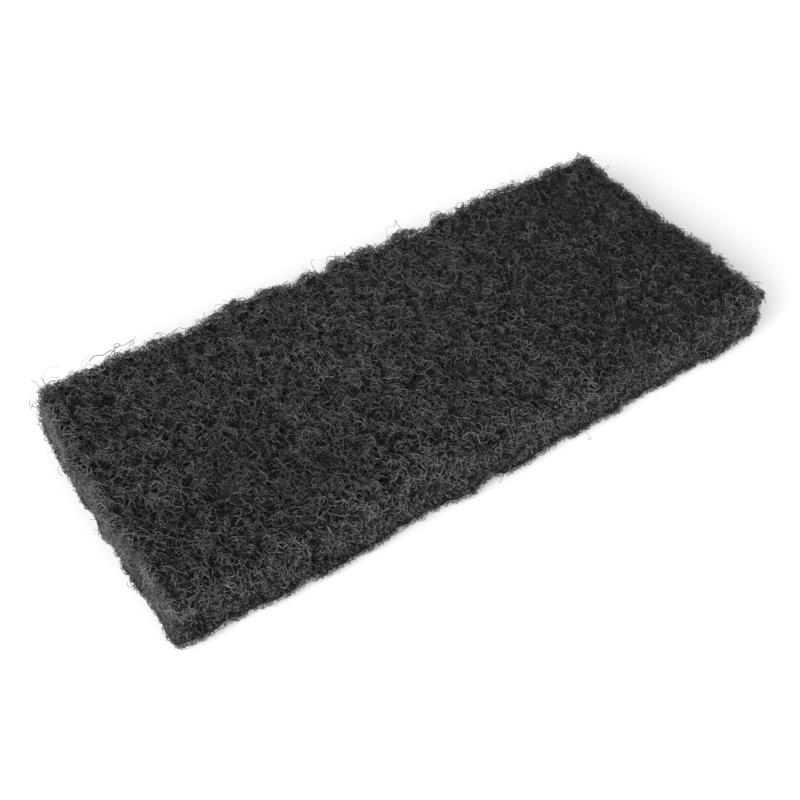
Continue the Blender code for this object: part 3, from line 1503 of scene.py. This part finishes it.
    def _strays(self) -> list[Dressing]:
        """Loose fibres that make the outline soft and ragged.

        Returns:
            strays all over, the rims' fuzz, tangles and tufts, and the single long strands
        """
        return [
            StrayFibres("stray_fibres", 260, 31, lowest=0.0),
            StrayFibres(
                "rim_fuzz", 850, 32, width=(0.14 * MM, 0.24 * MM), radius=(0.8 * MM, 2.4 * MM),
                points=(4, 8), step=0.7 * MM, reach=2.6 * MM, inland=0.02, rise=0.9, lowest=0.0,
            ),
            StrayFibres(
                "rim_tangles", 1950, 33, width=(0.1 * MM, 0.24 * MM), radius=(0.7 * MM, 2.2 * MM),
                points=(5, 8), step=0.75 * MM, reach=4.0 * MM, lift=0.4 * MM, rise=0.9,
                homes=tuple((home, *BACK_RIM) for home in TANGLE_HOMES),
                clump_size=1.7 * MM, shade=0.4,
            ),
            StrayFibres(
                "rim_tufts", 520, 34, width=(0.16 * MM, 0.3 * MM), radius=(1.0 * MM, 3.0 * MM),
                points=(4, 5), step=0.65 * MM, reach=2.4 * MM, lift=0.2 * MM, rise=1.2,
                homes=tuple((RIGHT_RIM[0], home, RIGHT_RIM[1]) for home in TUFT_HOMES),
                clump_size=0.9 * MM, shade=0.25,
            ),
            LooseStrands(),
        ]


@dataclass(frozen=True)
class SoftLamp:
    """A broad lamp, as a far one of a wide angle. Angles are in degrees."""

    name: str
    level: float
    azimuth: float
    elevation: float
    spread: float
    distance: float = 2.0

    def build(self) -> None:
        """Make the lamp, at the power that gives the floor its level, where 1 is white."""
        lamp = bpy.data.lights.new(self.name, "SUN")
        lamp.energy = self.level * math.pi / math.sin(math.radians(self.elevation))
        lamp.angle = math.radians(self.spread)
        back = direction(self.azimuth, self.elevation)
        holder = bpy.data.objects.new(self.name, lamp)
        holder.rotation_euler = back.to_track_quat("Z", "Y").to_euler()
        holder.location = back * self.distance
        bpy.context.scene.collection.objects.link(holder)


@dataclass
class Studio:
    """White floor, even white surroundings, a soft key lamp at the left and a front lamp."""

    floor_side: float = 6.0
    floor_white: float = 0.8
    fill: float = 0.2
    key: SoftLamp = SoftLamp("key_lamp", 0.62, -67.0, 33.0, 42.0)
    front: SoftLamp = SoftLamp("front_lamp", 0.28, -20.0, 50.0, 60.0)

    def build(self) -> None:
        """Set up the floor, the world and the lamps."""
        self._floor()
        self._world()
        self.key.build()
        self.front.build()

    def _floor(self) -> None:
        """A plain white floor that keeps the pad's shadow."""
        bm = bmesh.new()
        bmesh.ops.create_grid(bm, x_segments=1, y_segments=1, size=self.floor_side / 2.0)
        mesh = mesh_from(bm, "studio_floor")
        material, tree, shader = new_material("matt_white_floor", "BsdfDiffuse")
        white = {"A": (*[self.floor_white] * 3, 1.0), "B": (1.0, 1.0, 1.0, 1.0)}
        colour = add_node(
            tree, "Mix", {"data_type": "RGBA"}, {"Factor": self._seen_directly(tree), **white}
        ).outputs["Result"]
        feed(shader, {"Color": colour})
        mesh.materials.append(material)
        floor = bpy.data.objects.new("studio_floor", mesh)
        bpy.context.scene.collection.objects.link(floor)

    def _seen_directly(self, tree: bpy.types.NodeTree) -> bpy.types.NodeSocket:
        """Tell rays from the camera, a gloss or a glass from the rest.

        Args:
            tree: node tree that needs to know

        Returns:
            an output that is 1 for them and 0 for the rest
        """
        rays = add_node(tree, "LightPath").outputs
        seen = rays["Is Camera Ray"]
        for kind in ("Is Glossy Ray", "Is Transmission Ray"):
            seen = add_node(tree, "Math", {"operation": "MAXIMUM"}, (seen, rays[kind])).outputs[0]
        return seen

    def _world(self) -> None:
        """Even white surroundings, plain white where they are seen directly."""
        world = bpy.data.worlds.new("white_studio")
        world.use_nodes = True
        tree = world.node_tree
        tree.nodes.clear()
        levels = {"Value": self._seen_directly(tree), "To Min": self.fill, "To Max": 1.0}
        strength = add_node(tree, "MapRange", inputs=levels).outputs["Result"]
        colour = {"Color": (1.0, 1.0, 1.0, 1.0), "Strength": strength}
        shader = add_node(tree, "Background", inputs=colour)
        add_node(tree, "OutputWorld", inputs={"Surface": shader.outputs["Background"]})
        bpy.context.scene.world = world


@dataclass
class Viewpoint:
    """The camera, at the photograph's viewing angle. Angles are in degrees."""

    focal_pixels: float = 1129.16
    picture_pixels: float = 800.0
    distance: float = 412.95 * MM
    azimuth: float = -34.08
    elevation: float = 47.92
    target: tuple[float, float, float] = (-8.68 * MM, -3.27 * MM, 0.0)
    clip: tuple[float, float] = (0.01, 20.0)

    def build(self) -> None:
        """Make the camera and use it."""
        back = direction(self.azimuth, self.elevation)
        turn = math.radians(self.azimuth)
        right = Vector((math.cos(turn), math.sin(turn), 0.0))
        camera = bpy.data.cameras.new("camera")
        camera.sensor_width = SENSOR_WIDTH
        camera.lens = self.focal_pixels / self.picture_pixels * SENSOR_WIDTH
        camera.clip_start, camera.clip_end = self.clip
        holder = bpy.data.objects.new("camera", camera)
        frame = Matrix((right, back.cross(right), back)).transposed().to_4x4()
        holder.matrix_world = Matrix.Translation(Vector(self.target) + back * self.distance) @ frame
        bpy.context.scene.collection.objects.link(holder)
        bpy.context.scene.camera = holder


def main() -> None:
    """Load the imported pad, dress it and set up the studio."""
    logging.basicConfig(level=logging.INFO, format="%(message)s")
    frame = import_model()
    Viewpoint().build()
    Studio().build()
    total = 0
    for piece in AbrasivePad(frame["nodes"][NODE]).build():
        piece.data.calc_loop_triangles()
        count = len(piece.data.loop_triangles)
        total += count
        log.info("%s: %d triangles", piece.name, count)
    log.info("all pieces: %d triangles", total)
    bpy.context.scene.view_settings.view_transform = "Standard"
    bpy.context.view_layer.update()


if __name__ == "__main__":
    main()
